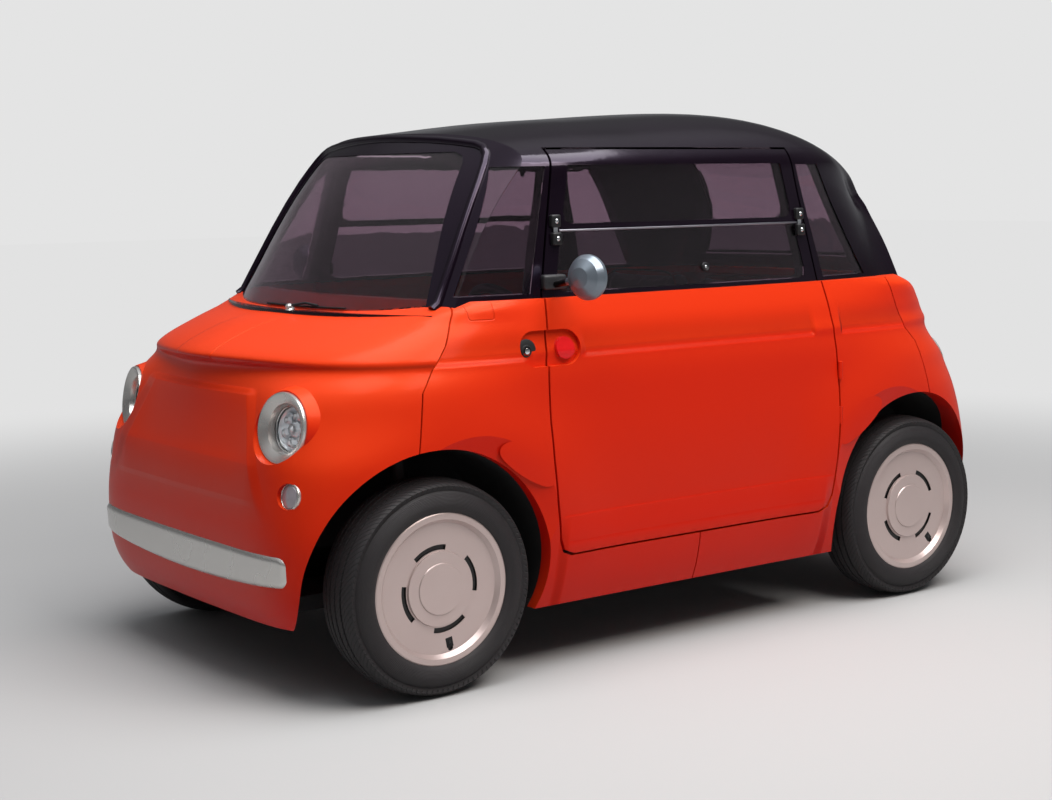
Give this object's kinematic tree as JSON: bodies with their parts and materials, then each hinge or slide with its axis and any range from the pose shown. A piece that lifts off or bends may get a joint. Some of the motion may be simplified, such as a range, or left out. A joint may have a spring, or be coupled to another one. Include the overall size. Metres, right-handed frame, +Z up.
{
  "type": "microcar",
  "caption": "Small electric two-seat city car with a glazed black greenhouse, hinged doors that open from opposite edges, steered front wheels and a furnished cabin.",
  "frame": {"origin": "on the ground, at the bottom centre of the bounding box", "axes": "-Y towards the car's front, +X towards its left side, +Z up"},
  "size_m": [1.6018, 2.5402, 1.4962],
  "materials": {
    "body_paint": "satin coral red",
    "cabin_black": "gloss black",
    "tinted_glass": "tinted, clear",
    "structure": "matte black",
    "liner": "matte black, grained",
    "running_gear": "dark coated steel",
    "silver_trim": "satin silver",
    "clear_lens": "clear, glossy",
    "red_lens": "red, glossy",
    "smoked_lens": "smoked amber",
    "wheel_cover": "satin silver beige",
    "tyre_rubber": "matte black rubber",
    "seat_fabric": "dark woven cloth",
    "dash_plastic": "matte dark grey",
    "wheel_rim_grip": "matte black",
    "latch_red": "gloss red"
  },
  "bodies": {
    "car": {"nose_panel": "body_paint", "tail_panel": "body_paint", "front_side_panels": "body_paint", "rear_side_panels": "body_paint", "cabin_frame": "cabin_black", "roof_panel": "cabin_black", "windscreen": "tinted_glass", "rear_glass": "tinted_glass", "floor_pan": "structure", "bulkheads": "structure", "wheel_liners": "liner", "front_suspension": "running_gear", "rear_axle": "running_gear", "motor_block": "structure", "battery_block": "structure", "lamp_bezels": "silver_trim", "headlamp_lenses": "clear_lens", "tail_lamp_lenses": "red_lens", "indicators": "smoked_lens", "bumpers": "silver_trim", "seat_pads_left": "seat_fabric", "seat_pads_right": "seat_fabric", "seat_frames": "structure", "dashboard": "dash_plastic", "door_hinges": "running_gear"},
    "left_door": {"door_left": "body_paint", "door_frame_left": "cabin_black", "door_glass_left": "tinted_glass", "mirror_left": "cabin_black", "latch_button_left": "latch_red"},
    "right_door": {"door_right": "body_paint", "door_frame_right": "cabin_black", "door_glass_right": "tinted_glass", "mirror_right": "cabin_black", "latch_button_right": "latch_red"},
    "left_knuckle": {"knuckle_left": "running_gear"},
    "right_knuckle": {"knuckle_right": "running_gear"},
    "steering": {"steering_wheel": "wheel_rim_grip"},
    "front_left_wheel": {"wheel_front_left": "wheel_cover", "tyre_front_left": "tyre_rubber"},
    "front_right_wheel": {"wheel_front_right": "wheel_cover", "tyre_front_right": "tyre_rubber"},
    "rear_left_wheel": {"wheel_rear_left": "wheel_cover", "tyre_rear_left": "tyre_rubber"},
    "rear_right_wheel": {"wheel_rear_right": "wheel_cover", "tyre_rear_right": "tyre_rubber"}
  },
  "joints": [
    {"name": "left_door_hinge", "type": "hinge", "parent": "car", "child": "left_door", "pos_m": [0.687, 0.5313, 0.68], "axis": [0, 0, 1], "range_deg": [0, 75]},
    {"name": "right_door_hinge", "type": "hinge", "parent": "car", "child": "right_door", "pos_m": [-0.687, -0.5313, 0.68], "axis": [0, 0, 1], "range_deg": [0, 75]},
    {"name": "left_steer", "type": "hinge", "parent": "car", "child": "left_knuckle", "pos_m": [0.5349, -0.864, 0.1671], "axis": [-0.1673, 0, 0.9859], "range_deg": [-30, 30]},
    {"name": "right_steer", "type": "hinge", "parent": "car", "child": "right_knuckle", "pos_m": [-0.5349, -0.864, 0.1671], "axis": [0.1673, 0, 0.9859], "range_deg": [-30, 30]},
    {"name": "steering_wheel_turn", "type": "hinge", "parent": "car", "child": "steering", "pos_m": [0.2736, -0.36, 0.8514], "axis": [0, 0.891, 0.454], "range_deg": [-450, 450]},
    {"name": "front_left_spin", "type": "hinge", "parent": "left_knuckle", "child": "front_left_wheel", "pos_m": [0.6, -0.864, 0.2785], "axis": [1, 0, 0], "continuous": true},
    {"name": "front_right_spin", "type": "hinge", "parent": "right_knuckle", "child": "front_right_wheel", "pos_m": [-0.6, -0.864, 0.2785], "axis": [1, 0, 0], "continuous": true},
    {"name": "rear_left_spin", "type": "hinge", "parent": "car", "child": "rear_left_wheel", "pos_m": [0.6, 0.864, 0.2785], "axis": [1, 0, 0], "continuous": true},
    {"name": "rear_right_spin", "type": "hinge", "parent": "car", "child": "rear_right_wheel", "pos_m": [-0.6, 0.864, 0.2785], "axis": [1, 0, 0], "continuous": true}
  ],
  "couplings": [
    {"joint": "right_steer", "follows": "left_steer", "ratio": 1},
    {"joint": "steering_wheel_turn", "follows": "left_steer", "ratio": 15}
  ]
}
